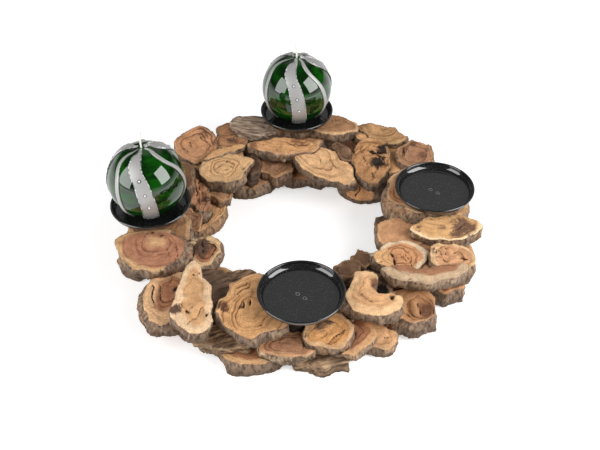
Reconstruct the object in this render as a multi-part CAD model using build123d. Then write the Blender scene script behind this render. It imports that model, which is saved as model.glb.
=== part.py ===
from build123d import *
import math
import os

# Advent wreath: a ring of wood slices glued to one another in layers, with four black steel
# candle plates spiked into the top of it and ball candles standing on two of the plates.
# Millimetres, +Z up. The origin is on the table, at the middle of the ring; -Y is the front.

# Driving dimensions of the wreath
WREATH_RADIUS = 200.0  # middle of the ring to the outside of the heap
STACK_HEIGHT = 60.0  # table to the seats of the candle plates
SLICE_RADIUS_SHARE = 0.2  # of the wreath radius: middle to bark of a large slice
SLICE_THICKNESS_SHARE = 0.25  # of the stack height: a common slice as sawn
SLICE_RADIUS = SLICE_RADIUS_SHARE * WREATH_RADIUS
SLICE_THICKNESS = SLICE_THICKNESS_SHARE * STACK_HEIGHT
GLUE_LINE = 0.2  # room left for glue where two slices meet
GLUE_DAB_RADIUS = 2.6  # hot glue squeezed out at a seam

# Driving dimensions of the candle plates
PLATE_RADIUS = 42.5
PLATE_FLOOR_RADIUS = 34.0
PLATE_DEPTH = 9.0
PLATE_SHEET = 1.2
PLATE_ROLL_RADIUS = 1.2  # rolled rim
PLATE_SEAT_GAP = 0.2  # foot of the spike above the wood
WELD_SPACING = 9.0
WELD_RADIUS = 2.2
WELD_GROOVE_WIDTH = 0.7
WELD_GROOVE_DEPTH = 0.35

# Driving dimensions of the spikes
SPIKE_RADIUS = 1.9
SPIKE_LENGTH = 34.0
SPIKE_POINT_LENGTH = 8.0
SPIKE_POINT_RADIUS = 0.4
SPIKE_FIT = 0.08  # radial room of a spike in its hole
SPIKE_HOLE_SPARE = 1.5  # hole past the point of the spike
FOOT_LENGTH = 19.0
FOOT_WIDTH = 7.0
FOOT_THICKNESS = 1.0
FOOT_CORNER_RADIUS = 2.0
FOOT_TURN = -40.0  # degrees

# Driving dimensions of the ball candles
BALL_RADIUS = 40.0
BALL_FOOT_RADIUS = 14.0
BALL_SEAT_GAP = 0.05
WICK_RADIUS = 0.9
WICK_FREE_LENGTH = 19.0
WICK_STRAIGHT_LENGTH = 6.0  # of the free length, before it bends
WICK_BEND = 2.0  # how far the tip stands aside
WICK_FIT = 0.1
WICK_BASE_COVER = 4.0  # wax under the lower end of the wick

# Driving dimensions of the wax ribbons and the stones on them
RIBBON_THICKNESS = 0.9
RIBBON_BOND = 0.1  # between ribbon and ball
RIBBON_EYE_RADIUS = 4.0  # bare wax round the wick
WIDE_RIBBON_WIDTH = 15.5
NARROW_RIBBON_WIDTH = 5.0
RIBBON_SWAY = 7.5
STONE_RADIUS = 1.5
STONE_TABLE_RADIUS = 0.8
STONE_HEIGHT = 1.3
STONE_BOND = 0.05

OVERRUN = 5.0  # how far a cutting tool reaches past what it cuts

HOURS = 12  # points of a slice's outline

# Outlines of slices: reach towards each hour of a clock, from twelve, as shares of the half sizes
ROUND_SHARES = (1, 0.97, 1, 1.02, 0.98, 1, 0.97, 1.02, 1, 0.97, 1, 1.02)
LUMPY_SHARES = (1, 0.94, 1.03, 0.96, 1.05, 0.92, 1, 0.96, 1.04, 0.93, 1.02, 0.97)
KNOBBLY_SHARES = (1, 0.82, 1.05, 0.86, 1.08, 0.84, 1, 0.8, 1.08, 0.88, 1.05, 0.84)
OVAL_CHIP_SHARES = (0.9, 1, 1.05, 0.95, 0.9, 1, 0.9, 0.95, 1.05, 1, 0.85, 0.95)

# Slices from the top of the heap down: where two meet, the earlier one keeps its shape.
# name: (place x, y as shares of the wreath radius), top as a share of the stack height,
# (half width, half length as shares of the slice radius), thickness share, turn in degrees,
# fall over one wreath radius as a share of the stack height, direction it falls to in degrees,
# bow share, outline shares
SLICE_SHARES = {
    "front_left_wedge_slice": (
        (-0.493, -0.72), 0.967, (0.55, 1.15), 0.93, 3, 0.35, 270, 0,
        (1, 0.8, 0.75, 0.8, 1, 1.05, 1, 0.85, 1.05, 0.75, 0.75, 0.85)),
    "right_crescent_slice": (
        (0.643, -0.555), 0.933, (1.125, 0.275), 1.07, 3, 0.47, 280, 0.25,
        (0.75, 1, 1, 1, 1, 1, 1, 1, 1, 1, 1, 0.9)),
    "left_round_slice": (
        (-0.725, -0.355), 0.883, (0.95, 0.75), 1, 0, 0.23, 225, 0,
        (1, 0.95, 1, 1.05, 1.03, 1, 1, 0.95, 0.93, 0.97, 1.15, 1.05)),
    "front_left_wide_slice": (
        (-0.208, -0.775), 0.95, (0.9, 1), 0.93, 0, 0.29, 270, 0,
        (1, 0.95, 0.9, 0.85, 1.1, 0.9, 1, 0.85, 0.95, 0.95, 0.85, 0.95)),
    "front_right_hook_slice": (
        (0.335, -0.7), 0.933, (0.75, 0.75), 1, 0, 0.23, 300, 0,
        (1.1, 0.87, 0.37, 1.1, 1.18, 0.95, 0.8, 0.75, 0.7, 0.67, 0.67, 0.87)),
    "right_slab_slice": (
        (0.78, -0.205), 0.917, (0.95, 0.45), 0.93, 2, 0.35, 270, 0,
        (1, 1.1, 1.05, 1, 0.95, 0.95, 0.95, 0.85, 0.85, 0.95, 0.95, 0.95)),
    "right_round_slice": (
        (0.68, 0.08), 1, (1.125, 1), 1, 0, 0, 0, 0,
        (1, 1, 1, 1, 0.98, 0.95, 0.98, 1, 1, 1, 0.95, 0.95)),
    "back_right_top_slice": (
        (0.208, 0.695), 0.967, (0.75, 0.5), 0.87, 0, 0.23, 300, 0,
        (1, 0.95, 0.95, 0.95, 1, 0.9, 0.85, 0.85, 0.95, 1, 1, 1)),
    "back_bark_block": (
        (-0.238, 0.7), 0.95, (0.8, 0.425), 1.33, 0, 0.47, 290, 0,
        (0.95, 0.95, 0.9, 0.9, 1, 1, 0.9, 0.9, 0.9, 0.95, 1.05, 1.1)),
    "back_mid_slice": (
        (-0.07, 0.53), 0.867, (1.15, 0.35), 0.93, 0, 0.59, 280, 0,
        (1, 1, 0.95, 0.9, 0.95, 1, 0.95, 0.9, 0.95, 1, 0.9, 0.85)),
    "back_right_far_slice": (
        (0.49, 0.655), 0.867, (0.75, 0.35), 0.87, -20, 0.59, 260, 0,
        (1, 0.95, 0.95, 1.05, 1, 1.15, 1.1, 0.8, 0.85, 1, 1, 1)),
    "right_back_slice": (
        (0.675, 0.455), 0.867, (0.55, 0.525), 1.07, 0, 0.47, 240, 0, LUMPY_SHARES),
    "back_left_stick": (
        (-0.421, 0.465), 0.87, (0.68, 0.12), 0.5, 32, 0.29, 300, 0, OVAL_CHIP_SHARES),
    "back_left_tall_slice": (
        (-0.563, 0.55), 0.833, (0.65, 0.68), 1.07, 0, 0.89, 300, 0,
        (1, 1.05, 0.9, 0.8, 0.85, 0.9, 0.95, 1.05, 1.05, 1, 0.95, 0.95)),
    "right_ring_slice": (
        (0.53, -0.375), 0.8, (0.8, 0.6), 1, 0, 0.35, 0, 0,
        (1, 1.05, 1.05, 0.95, 0.95, 1, 1, 0.9, 0.9, 0.95, 0.8, 0.85)),
    "right_outer_slice": (
        (0.8, -0.39), 0.8, (0.575, 0.575), 1.33, 0, 0.35, 0, 0, ROUND_SHARES),
    "back_left_round_slice": (
        (-0.403, 0.345), 0.8, (0.8, 0.6), 1.07, 0, 0.47, 290, 0,
        (1, 1, 1.05, 0.75, 0.85, 0.9, 1, 1, 0.95, 0.95, 0.95, 1)),
    "back_right_slice": (
        (0.423, 0.43), 0.8, (0.625, 0.95), 1.07, 0, 0.35, 250, 0,
        (0.95, 1, 1, 0.95, 0.9, 1, 1.05, 0.95, 0.9, 0.9, 0.95, 1)),
    "back_right_tongue": (
        (0.266, 0.5), 0.817, (0.2, 0.52), 0.87, 27, 0.47, 280, 0, OVAL_CHIP_SHARES),
    "back_large_slice": (
        (0.152, 0.4), 0.75, (1.15, 0.6), 0.93, -38, 0.47, 280, 0,
        (1, 0.95, 0.85, 1, 0.75, 0.75, 0.75, 0.85, 0.85, 0.75, 0.85, 1)),
    "left_inner_ring_slice": (
        (-0.468, -0.315), 0.733, (0.525, 0.55), 1.07, 0, 0.35, 320, 0,
        (0.95, 1, 1, 0.95, 0.9, 0.95, 1.1, 1.1, 1, 1, 1, 1)),
    "right_back_face_slice": (
        (0.553, -0.2), 0.733, (0.65, 0.65), 1.07, 0, 0.29, 300, 0, ROUND_SHARES),
    "back_right_chip": (
        (0.375, 0.675), 0.833, (0.25, 0.35), 0.93, 0, 0.47, 280, 0, OVAL_CHIP_SHARES),
    "back_left_far_slice": (
        (-0.4, 0.7), 0.8, (0.4, 0.38), 1.07, 0, 0.59, 280, 0, LUMPY_SHARES),
    "back_left_mid_slice": (
        (-0.385, 0.62), 0.767, (0.5, 0.4), 1.2, 0, 0.59, 290, 0, LUMPY_SHARES),
    "back_left_nub": (
        (-0.262, 0.42), 0.683, (0.24, 0.42), 1.47, 0, 0.71, 280, 0, KNOBBLY_SHARES),
    "right_nub": (
        (0.34, -0.36), 0.667, (0.33, 0.33), 1.33, 0, 0.71, 190, 0, KNOBBLY_SHARES),
    "front_inner_nub": (
        (0.26, -0.44), 0.667, (0.36, 0.36), 1.33, 0, 0.59, 90, 0, KNOBBLY_SHARES),
    "front_left_round_slice": (
        (-0.645, -0.63), 0.633, (0.7, 0.9), 1.2, 0, 0.47, 215, 0,
        (1, 1, 1, 1, 0.95, 0.95, 0.95, 1, 1, 1, 1, 1)),
    "front_center_slice": (
        (0.152, -0.85), 0.633, (0.62, 0.55), 0.93, 25, 0.71, 280, 0,
        (1, 1, 1, 1, 1, 1, 1, 0.9, 0.95, 1, 1, 1)),
    "left_fibre_slice": (
        (-0.538, 0.2), 0.6, (0.3, 0.85), 1.2, 15, 0.71, 330, 0, OVAL_CHIP_SHARES),
    "inner_left_bark_slice": (
        (-0.33, -0.47), 0.567, (0.625, 0.35), 1.2, 5, 0.47, 100, 0, OVAL_CHIP_SHARES),
    "front_right_mid_slice": (
        (0.36, -0.625), 0.533, (0.55, 0.5), 1, 0, 0.47, 300, 0, LUMPY_SHARES),
    "front_right_knot_slice": (
        (0.575, -0.645), 0.517, (0.65, 0.58), 1.73, 0, 0.35, 310, 0, LUMPY_SHARES),
    "back_center_chunk": (
        (-0.115, 0.485), 0.517, (0.5, 0.5), 1.2, 0, 0.83, 280, 0, KNOBBLY_SHARES),
    "left_bark_chunk": (
        (-0.585, -0.01), 0.5, (0.4, 0.45), 1.6, 0, 0.89, 300, 0, KNOBBLY_SHARES),
    "front_center_crescent": (
        (0.265, -0.825), 0.5, (0.58, 0.65), 0.93, -25, 0.59, 290, 0, ROUND_SHARES),
    "front_center_low_slice": (
        (-0.03, -0.89), 0.483, (0.75, 0.42), 0.93, 0, 0.47, 270, 0, LUMPY_SHARES),
    "left_dark_chunk": (
        (-0.43, 0.25), 0.467, (0.35, 0.35), 0.93, 0, 0.59, 300, 0, KNOBBLY_SHARES),
    "front_left_bark_slice": (
        (-0.35, -0.84), 0.45, (0.8, 0.325), 1.2, -8, 0.59, 250, 0, LUMPY_SHARES),
    "back_seat_slice": (
        (0, 0.75), 1, (0.75, 0.6), 1.07, 0, 0, 0, 0, ROUND_SHARES),
    "front_seat_slice": (
        (0.025, -0.68), 1, (0.5, 0.5), 1.2, 0, 0, 0, 0, ROUND_SHARES),
    "left_seat_slice": (
        (-0.765, -0.075), 1, (0.6, 0.6), 1.07, 0, 0.1164, 190, 0, ROUND_SHARES),
    "left_back_slice": (
        (-0.74, 0.26), 0.8, (0.85, 0.85), 1.2, 0, 0.35, 200, 0, LUMPY_SHARES),
    "back_middle_slice": ((0, 0.7), 0.767, (0.9, 0.9), 1.87, 0, 0, 0, 0, LUMPY_SHARES),
    "right_middle_slice": ((0.75, 0.08), 0.75, (0.95, 0.95), 1.87, 0, 0, 0, 0, LUMPY_SHARES),
    "left_middle_slice": ((-0.72, -0.16), 0.76, (0.85, 0.85), 1.87, 0, 0, 0, 0, LUMPY_SHARES),
    "front_middle_slice": ((0.02, -0.68), 0.72, (0.75, 0.75), 1.8, 0, 0, 0, 0, LUMPY_SHARES),
    "front_left_middle_slice": ((-0.44, -0.6), 0.77, (0.7, 0.7), 2, 0, 0, 0, 0, LUMPY_SHARES),
    "front_right_middle_slice": ((0.37, -0.58), 0.72, (0.62, 0.62), 1.87, 0, 0, 0, 0, LUMPY_SHARES),
    "right_front_middle_slice": ((0.7, -0.33), 0.72, (0.85, 0.85), 1.87, 0, 0, 0, 0, LUMPY_SHARES),
    "back_right_middle_slice": ((0.5, 0.5), 0.72, (0.9, 0.9), 1.87, 0, 0, 0, 0, LUMPY_SHARES),
    "back_left_middle_slice": ((-0.48, 0.52), 0.7, (0.85, 0.85), 1.8, 0, 0, 0, 0, LUMPY_SHARES),
}

# Slices that stand on the table, in the same order of precedence; the top is their own thickness.
# name: place shares, half size shares, thickness share, turn in degrees, outline shares
BASE_SLICE_SHARES = {
    "left_inner_base": (
        (-0.475, 0.175), (0.55, 0.85), 1.07, -20,
        (1.05, 0.8, 0.7, 0.65, 0.72, 0.9, 1, 1, 1, 0.95, 0.8, 0.7)),
    "left_outer_base": ((-0.84, -0.21), (0.5, 0.55), 1.33, 0, LUMPY_SHARES),
    "front_left_base": ((-0.49, -0.61), (0.75, 0.75), 1.33, 0, ROUND_SHARES),
    "front_base": ((-0.21, -0.815), (0.9, 0.85), 1.13, 0, ROUND_SHARES),
    "front_right_base": ((0.41, -0.75), (0.5, 0.55), 0.87, 0, LUMPY_SHARES),
    "front_chip_base": ((0.125, -0.89), (0.7, 0.45), 0.93, 0, KNOBBLY_SHARES),
    "right_outer_base": ((0.76, -0.43), (0.5, 0.5), 1.47, 0, KNOBBLY_SHARES),
    "right_inner_base": ((0.51, 0.02), (0.4, 0.4), 1.47, 0, KNOBBLY_SHARES),
    "inner_back_left_base": ((-0.268, 0.482), (0.75, 0.61), 1.13, 23, ROUND_SHARES),
    "inner_back_base": (
        (0.04, 0.56), (0.8, 0.6), 1.07, 0,
        (1, 1, 1, 1, 1, 1.05, 0.85, 1.05, 1, 1, 1, 1)),
    "inner_back_right_base": ((0.41, 0.44), (0.7, 0.6), 1.4, -35, ROUND_SHARES),
    "left_back_base": ((-0.75, 0.075), (0.95, 0.95), 1.6, 0, LUMPY_SHARES),
    "back_left_base": ((-0.55, 0.59), (0.9, 0.9), 1.6, 0, LUMPY_SHARES),
    "back_base": ((-0.05, 0.8), (0.9, 0.9), 1.73, 0, LUMPY_SHARES),
    "back_left_gap_base": ((-0.31, 0.7), (0.55, 0.55), 1.47, 0, LUMPY_SHARES),
    "back_right_gap_base": ((0.2, 0.8), (0.55, 0.55), 1.47, 0, LUMPY_SHARES),
    "back_right_base": ((0.425, 0.675), (0.9, 0.9), 1.73, 0, LUMPY_SHARES),
    "right_back_base": ((0.775, 0.25), (0.85, 0.85), 1.73, 0, LUMPY_SHARES),
    "right_front_base": ((0.75, -0.2), (0.95, 0.95), 1.47, 0, LUMPY_SHARES),
    "front_inner_base": ((0.05, -0.6), (0.8, 0.8), 1.47, 0, LUMPY_SHARES),
    "left_front_inner_base": ((-0.46, -0.45), (0.72, 0.72), 1.6, 0, LUMPY_SHARES),
    "right_front_inner_base": ((0.425, -0.475), (0.85, 0.85), 1.6, 0, LUMPY_SHARES),
}

# Slices that are too small or too hidden for a node of their own share one
SHARED_NODES = {
    "front_base_slices": ("front_left_base", "front_base", "front_right_base", "front_chip_base"),
    "inner_base_slices": (
        "left_inner_base", "right_inner_base", "inner_back_left_base", "inner_back_base",
        "inner_back_right_base"),
    "outer_base_slices": ("left_outer_base", "right_outer_base"),
    "back_base_slices": (
        "left_back_base", "back_left_base", "back_base", "back_left_gap_base", "back_right_gap_base",
        "back_right_base", "right_back_base", "right_front_base"),
    "front_inner_base_slices": ("front_inner_base", "left_front_inner_base", "right_front_inner_base"),
    "side_middle_slices": (
        "back_middle_slice", "right_middle_slice", "left_middle_slice", "front_middle_slice"),
    "corner_middle_slices": (
        "front_left_middle_slice", "front_right_middle_slice", "right_front_middle_slice",
        "back_right_middle_slice", "back_left_middle_slice"),
    "bark_nubs": (
        "back_left_nub", "right_nub", "front_inner_nub", "left_bark_chunk", "left_dark_chunk",
        "back_center_chunk", "back_right_tongue"),
    "back_chips": ("back_left_stick", "back_right_chip"),
    "back_left_fill_slices": ("back_left_far_slice", "back_left_mid_slice"),
}

# Dabs of hot glue that show at the seams: place shares of the wreath radius, height share of the stack
GLUE_DAB_SHARES = (
    ((-0.073, 0.473), 0.66),
    ((0.573, 0.575), 0.72),
    ((0.385, -0.391), 0.85),
    ((-0.538, -0.249), 0.77),
    ((0.56, -0.49), 0.8),
    ((0.27, -0.765), 0.58),
)

# Candle plates: place shares of the wreath radius, fall share and direction in degrees as for the slices
PLATE_SHARES = {
    "front": ((0.025, -0.74), 0, 0),
    "right": ((0.74, 0.05), 0, 0),
    "left": ((-0.765, -0.075), 0.1164, 190),
    "back": ((0, 0.77), 0, 0),
}

# Candles by the plate they stand on: directions of the wide ribbons, of the narrow ribbons laid between
# them and of the wick's bend, in degrees
CANDLE_TURNS = {
    "left": ((-83, 53, 175), (-9, 114, 232), 0),
    "back": ((-88, 20, 141), (-38, 80, 210), 180),
}

# Ribbons from the wick down: height share of the ball radius, half width share, sway share
RIBBON_SHARES = (
    (1.1, 0.16, 0),
    (0.99, 0.2, -0.2),
    (0.95, 0.5, -0.6),
    (0.81, 0.8, -1),
    (0.59, 0.9, -0.6),
    (0.24, 1, -0.1),
    (-0.14, 1, 0.2),
    (-0.6, 1, 0.2),
    (-0.76, 0.9, 0.15),
)
STONE_SHARES = ((0.59, -0.6), (0.24, -0.1), (-0.14, 0.2))  # height share, sway share


# Wood slices


def outline(half_width, half_length, bow, shares):
    """Closed outline of a slice through its clock points, in the slice's own plane."""
    points = []
    for hour, share in enumerate(shares):
        angle = math.radians(90 - 360 / HOURS * hour)
        x = half_width * share * math.cos(angle)
        y = half_length * share * math.sin(angle)
        points.append((x, y + bow * (x / half_width) ** 2))
    return Face(Wire([Edge.make_spline(points, periodic=True)]))


def lean_plane(place, z, turn, fall, fall_to):
    """Plane at a place, falling towards a direction by a share of the stack height over one wreath radius."""
    lean = math.atan(fall * STACK_HEIGHT / WREATH_RADIUS)
    way = math.radians(fall_to)
    normal = (math.sin(lean) * math.cos(way), math.sin(lean) * math.sin(way), math.cos(lean))
    along = (math.cos(math.radians(turn)), math.sin(math.radians(turn)), 0)
    return Plane(origin=(WREATH_RADIUS * place[0], WREATH_RADIUS * place[1], z), x_dir=along, z_dir=normal)


def prism(plane, reach, thickness, bow_share, shares, grow=0):
    """A sawn slice under its top plane; grow widens it all round, to cut its neighbours with."""
    half_width = SLICE_RADIUS * reach[0] + grow
    half_length = SLICE_RADIUS * reach[1] + grow
    face = outline(half_width, half_length, bow_share * half_width, shares)
    body = Solid.extrude(face, Vector(0, 0, -thickness - 2 * grow))
    return plane.location * Pos(0, 0, grow) * body


def slice_plans():
    """Name and prism arguments of every slice, in order of precedence."""
    plans = []
    for name, (place, top, reach, thick, turn, fall, fall_to, bow, shares) in SLICE_SHARES.items():
        plane = lean_plane(place, STACK_HEIGHT * top, turn, fall, fall_to)
        plans.append((name, (plane, reach, SLICE_THICKNESS * thick, bow, shares)))
    for name, (place, reach, thick, turn, shares) in BASE_SLICE_SHARES.items():
        thickness = SLICE_THICKNESS * thick
        plane = lean_plane(place, thickness, turn, 0, 0)
        plans.append((name, (plane, reach, thickness, 0, shares)))
    return plans


def apart(a, b):
    """True if two bounding boxes don't meet."""
    for low_a, high_a, low_b, high_b in zip(a.min, a.max, b.min, b.max):
        if high_a < low_b or high_b < low_a:
            return True
    return False


def largest(shape):
    return max(shape.solids(), key=lambda solid: solid.volume)


def carve(body, tools):
    """Take the tools that reach a body out of it and keep its main piece."""
    box = body.bounding_box()
    near = [tool for tool, tool_box in tools if not apart(box, tool_box)]
    if near:
        body = largest(body.cut(*near))
    return body


def with_box(body):
    return body, body.bounding_box()


def seat_plane(name, turn=0):
    """Plane of the wood under a candle plate."""
    place, fall, fall_to = PLATE_SHARES[name]
    return lean_plane(place, STACK_HEIGHT, turn, fall, fall_to)


def spike_hole(name):
    depth = SPIKE_LENGTH + SPIKE_HOLE_SPARE
    drill = Cylinder(SPIKE_RADIUS + SPIKE_FIT, depth + OVERRUN, align=(Align.CENTER, Align.CENTER, Align.MIN))
    return (seat_plane(name).location * Pos(0, 0, -depth) * drill).solid()


def wood_nodes():
    """The glued heap: every slice cut back where an earlier one stands in its way, then the glue dabs."""
    holes = [with_box(spike_hole(name)) for name in PLATE_SHARES]
    slices = {}
    tools = []
    for name, plan in slice_plans():
        slices[name] = carve(prism(*plan), tools + holes)
        tools.append(with_box(prism(*plan, grow=GLUE_LINE)))
    dabs = []
    for place, height in GLUE_DAB_SHARES:
        ball = lean_plane(place, STACK_HEIGHT * height, 0, 0, 0).location * Sphere(GLUE_DAB_RADIUS)
        dabs.append(carve(ball.solid(), tools))
    nodes = {"glue_dabs": Compound(children=dabs)}
    for node, members in SHARED_NODES.items():
        nodes[node] = Compound(children=[slices.pop(member) for member in members])
    nodes.update(slices)
    return nodes


# Candle plates and spikes


def dish():
    """Pressed steel dish on its seat plane's Z axis, underside at zero, with the marks of its two welds."""
    run = PLATE_RADIUS - PLATE_ROLL_RADIUS - PLATE_FLOOR_RADIUS
    rise = PLATE_DEPTH - PLATE_ROLL_RADIUS - PLATE_SHEET / 2
    bend = (run**2 + rise**2) / (2 * rise)
    sweep_angle = math.atan2(run, bend - rise)
    middle = (PLATE_FLOOR_RADIUS, PLATE_SHEET / 2 + bend)

    def on_arc(radius, angle):
        return (middle[0] + radius * math.sin(angle), middle[1] - radius * math.cos(angle))

    outer = bend + PLATE_SHEET / 2
    inner = bend - PLATE_SHEET / 2
    half = sweep_angle / 2
    edges = [
        Line((0, 0), on_arc(outer, 0)),
        ThreePointArc(on_arc(outer, 0), on_arc(outer, half), on_arc(outer, sweep_angle)),
        Line(on_arc(outer, sweep_angle), on_arc(inner, sweep_angle)),
        ThreePointArc(on_arc(inner, sweep_angle), on_arc(inner, half), on_arc(inner, 0)),
        Line(on_arc(inner, 0), (0, PLATE_SHEET)),
        Line((0, PLATE_SHEET), (0, 0)),
    ]
    rim = Pos(*on_arc(bend, sweep_angle)) * Circle(PLATE_ROLL_RADIUS)
    bowl = revolve(Plane.XZ * make_face(edges), Axis.Z) + revolve(Plane.XZ * rim, Axis.Z)
    ring = Circle(WELD_RADIUS) - Circle(WELD_RADIUS - WELD_GROOVE_WIDTH)
    for side in (-1, 1):
        mark = Pos(side * WELD_SPACING / 2, 0, PLATE_SHEET - WELD_GROOVE_DEPTH) * ring
        bowl -= extrude(mark, OVERRUN)
    return bowl.solid()


def spike():
    """Foot strip and pin, the top of the foot at zero."""
    foot = extrude(RectangleRounded(FOOT_LENGTH, FOOT_WIDTH, FOOT_CORNER_RADIUS), -FOOT_THICKNESS)
    shank = SPIKE_LENGTH - SPIKE_POINT_LENGTH
    below = Pos(0, 0, -FOOT_THICKNESS)
    down = (Align.CENTER, Align.CENTER, Align.MAX)
    pin = below * Cylinder(SPIKE_RADIUS, shank, align=down)
    point = below * Pos(0, 0, -shank) * Cone(SPIKE_POINT_RADIUS, SPIKE_RADIUS, SPIKE_POINT_LENGTH, align=down)
    return (foot + pin + point).solid()


def plate_nodes():
    nodes = {}
    for name in PLATE_SHARES:
        up = Pos(0, 0, PLATE_SEAT_GAP + FOOT_THICKNESS)
        place = seat_plane(name, FOOT_TURN).location * up
        nodes[f"{name}_plate_dish"] = place * dish()
        nodes[f"{name}_plate_spike"] = place * spike()
    return nodes


# Ball candles: made with the middle of the ball at zero


def ball():
    foot_height = -math.sqrt(BALL_RADIUS**2 - BALL_FOOT_RADIUS**2)
    wide = 2 * (BALL_RADIUS + OVERRUN)
    below = Pos(0, 0, foot_height) * Box(wide, wide, wide, align=(Align.CENTER, Align.CENTER, Align.MAX))
    up = (Align.CENTER, Align.CENTER, Align.MIN)
    bore = Cylinder(WICK_RADIUS + WICK_FIT, wide, align=up)
    return (Sphere(BALL_RADIUS) - below - Pos(0, 0, foot_height + WICK_BASE_COVER) * bore).solid()


def wick():
    low = WICK_BASE_COVER + WICK_FIT - math.sqrt(BALL_RADIUS**2 - BALL_FOOT_RADIUS**2)
    bend_start = BALL_RADIUS + WICK_STRAIGHT_LENGTH
    stem = Line((0, 0, low), (0, 0, bend_start))
    tip = TangentArc((0, 0, bend_start), (WICK_BEND, 0, BALL_RADIUS + WICK_FREE_LENGTH), tangent=(0, 0, 1))
    return sweep(Pos(0, 0, low) * Circle(WICK_RADIUS), path=stem + tip).solid()


def ribbon(width):
    """One ribbon down the front of the ball, from the eye round the wick to its rounded end."""
    left = []
    right = []
    for height, half, sway in RIBBON_SHARES:
        middle = RIBBON_SWAY * sway
        left.append((middle - width / 2 * half, BALL_RADIUS * height))
        right.append((middle + width / 2 * half, BALL_RADIUS * height))
    edges = [Spline(left), Line(left[-1], right[-1]), Spline(right), Line(left[0], right[0])]
    front = extrude(Plane.XZ * make_face(edges), BALL_RADIUS + OVERRUN)
    inner = BALL_RADIUS + RIBBON_BOND
    shell = Sphere(inner + RIBBON_THICKNESS) - Sphere(inner)
    eye = Cylinder(RIBBON_EYE_RADIUS, 2 * (BALL_RADIUS + OVERRUN))
    return largest(shell & front - eye)


def stone(height, sway):
    """One cut stone standing on the front wide ribbon."""
    radius = BALL_RADIUS + RIBBON_BOND + RIBBON_THICKNESS + STONE_BOND
    x = RIBBON_SWAY * sway
    z = BALL_RADIUS * height
    y = -math.sqrt(radius**2 - x**2 - z**2)
    cut = Cone(STONE_RADIUS, STONE_TABLE_RADIUS, STONE_HEIGHT, align=(Align.CENTER, Align.CENTER, Align.MIN))
    return (Plane(origin=(x, y, z), z_dir=(x, y, z)).location * cut).solid()


def candle_nodes():
    nodes = {}
    wide = ribbon(WIDE_RIBBON_WIDTH)
    narrow = ribbon(NARROW_RIBBON_WIDTH)
    stones = [stone(*shares) for shares in STONE_SHARES]
    for name, (wide_turns, narrow_turns, wick_turn) in CANDLE_TURNS.items():
        rise = PLATE_SEAT_GAP + FOOT_THICKNESS + PLATE_SHEET + BALL_SEAT_GAP
        middle = rise + math.sqrt(BALL_RADIUS**2 - BALL_FOOT_RADIUS**2)
        place = seat_plane(name).location * Pos(0, 0, middle)
        nodes[f"{name}_candle_ball"] = place * ball()
        nodes[f"{name}_candle_wick"] = place * Rot(0, 0, wick_turn) * wick()
        strips = [place * Rot(0, 0, turn + 90) * wide for turn in wide_turns]
        strips += [place * Rot(0, 0, turn + 90) * narrow for turn in narrow_turns]
        nodes[f"{name}_candle_ribbons"] = Compound(children=strips)
        set_stones = [place * Rot(0, 0, turn + 90) * cut for turn in wide_turns for cut in stones]
        nodes[f"{name}_candle_stones"] = Compound(children=set_stones)
    return nodes


os.makedirs("parts", exist_ok=True)
for node, shape in {**wood_nodes(), **plate_nodes(), **candle_nodes()}.items():
    export_step(shape, f"parts/{node}.step")
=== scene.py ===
import math

import bpy
import numpy as np
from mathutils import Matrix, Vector


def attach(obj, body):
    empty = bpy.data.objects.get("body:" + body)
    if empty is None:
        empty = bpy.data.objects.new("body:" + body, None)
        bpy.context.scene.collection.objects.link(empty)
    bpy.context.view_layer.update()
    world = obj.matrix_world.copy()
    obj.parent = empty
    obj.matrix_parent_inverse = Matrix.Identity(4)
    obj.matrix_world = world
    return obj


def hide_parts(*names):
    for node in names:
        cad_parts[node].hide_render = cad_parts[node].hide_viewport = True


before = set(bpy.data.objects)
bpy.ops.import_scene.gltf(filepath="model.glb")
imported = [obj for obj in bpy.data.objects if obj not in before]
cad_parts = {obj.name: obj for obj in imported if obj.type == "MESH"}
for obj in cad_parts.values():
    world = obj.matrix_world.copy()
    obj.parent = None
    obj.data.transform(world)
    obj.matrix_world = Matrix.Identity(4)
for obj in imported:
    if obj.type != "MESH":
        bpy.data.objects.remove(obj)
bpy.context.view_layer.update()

# Studio: a white table with two soft boxes in front, one at each side, in a room that is white along the
# floor, dark above and has a pale panel high at the back, as the gloss shows it. The camera looks down
# from the front, as the photograph does.
MM = 0.001
view_target = Vector((3.8, -34.1, 53.0)) * MM
view_elevation = math.radians(41.26)
view_distance = 1048 * MM
view_lens = 60
view_sensor = 36
room_light = 0.3
room_white = 0.95
room_dark = 0.03
room_dark_from = 0.14
panel_way = (0, 0.755, 0.656)
panel_pale = 0.34
soft_box_tall = 1.18
table_size = 6
table_gap = 0.2 * MM
table_glow = 0.5

bpy.context.scene.view_settings.view_transform = "Standard"
camera_data = bpy.data.cameras.new("photo_view")
camera_data.lens = view_lens
camera_data.sensor_width = view_sensor
camera_data.sensor_fit = "HORIZONTAL"
camera = bpy.data.objects.new("photo_view", camera_data)
bpy.context.scene.collection.objects.link(camera)
view_back = Vector((0, -math.cos(view_elevation), math.sin(view_elevation)))
camera.location = view_target + view_back * view_distance
camera.rotation_euler = (-view_back).to_track_quat("-Z", "Y").to_euler()
bpy.context.scene.camera = camera


def number(tree, operation, *values):
    """A Math node on numbers or other nodes' outputs."""
    step = tree.nodes.new("ShaderNodeMath")
    step.operation = operation
    for socket, value in zip(step.inputs, values):
        if isinstance(value, (int, float)):
            socket.default_value = value
        else:
            tree.links.new(value, socket)
    return step.outputs[0]


def ramp(tree, value, low, high, to_low=0.0, to_high=1.0):
    """A value taken smoothly from one span to another."""
    step = tree.nodes.new("ShaderNodeMapRange")
    step.interpolation_type = "SMOOTHSTEP"
    for name, bound in (("From Min", low), ("From Max", high), ("To Min", to_low), ("To Max", to_high)):
        step.inputs[name].default_value = bound
    tree.links.new(value, step.inputs["Value"])
    return step.outputs["Result"]


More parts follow.
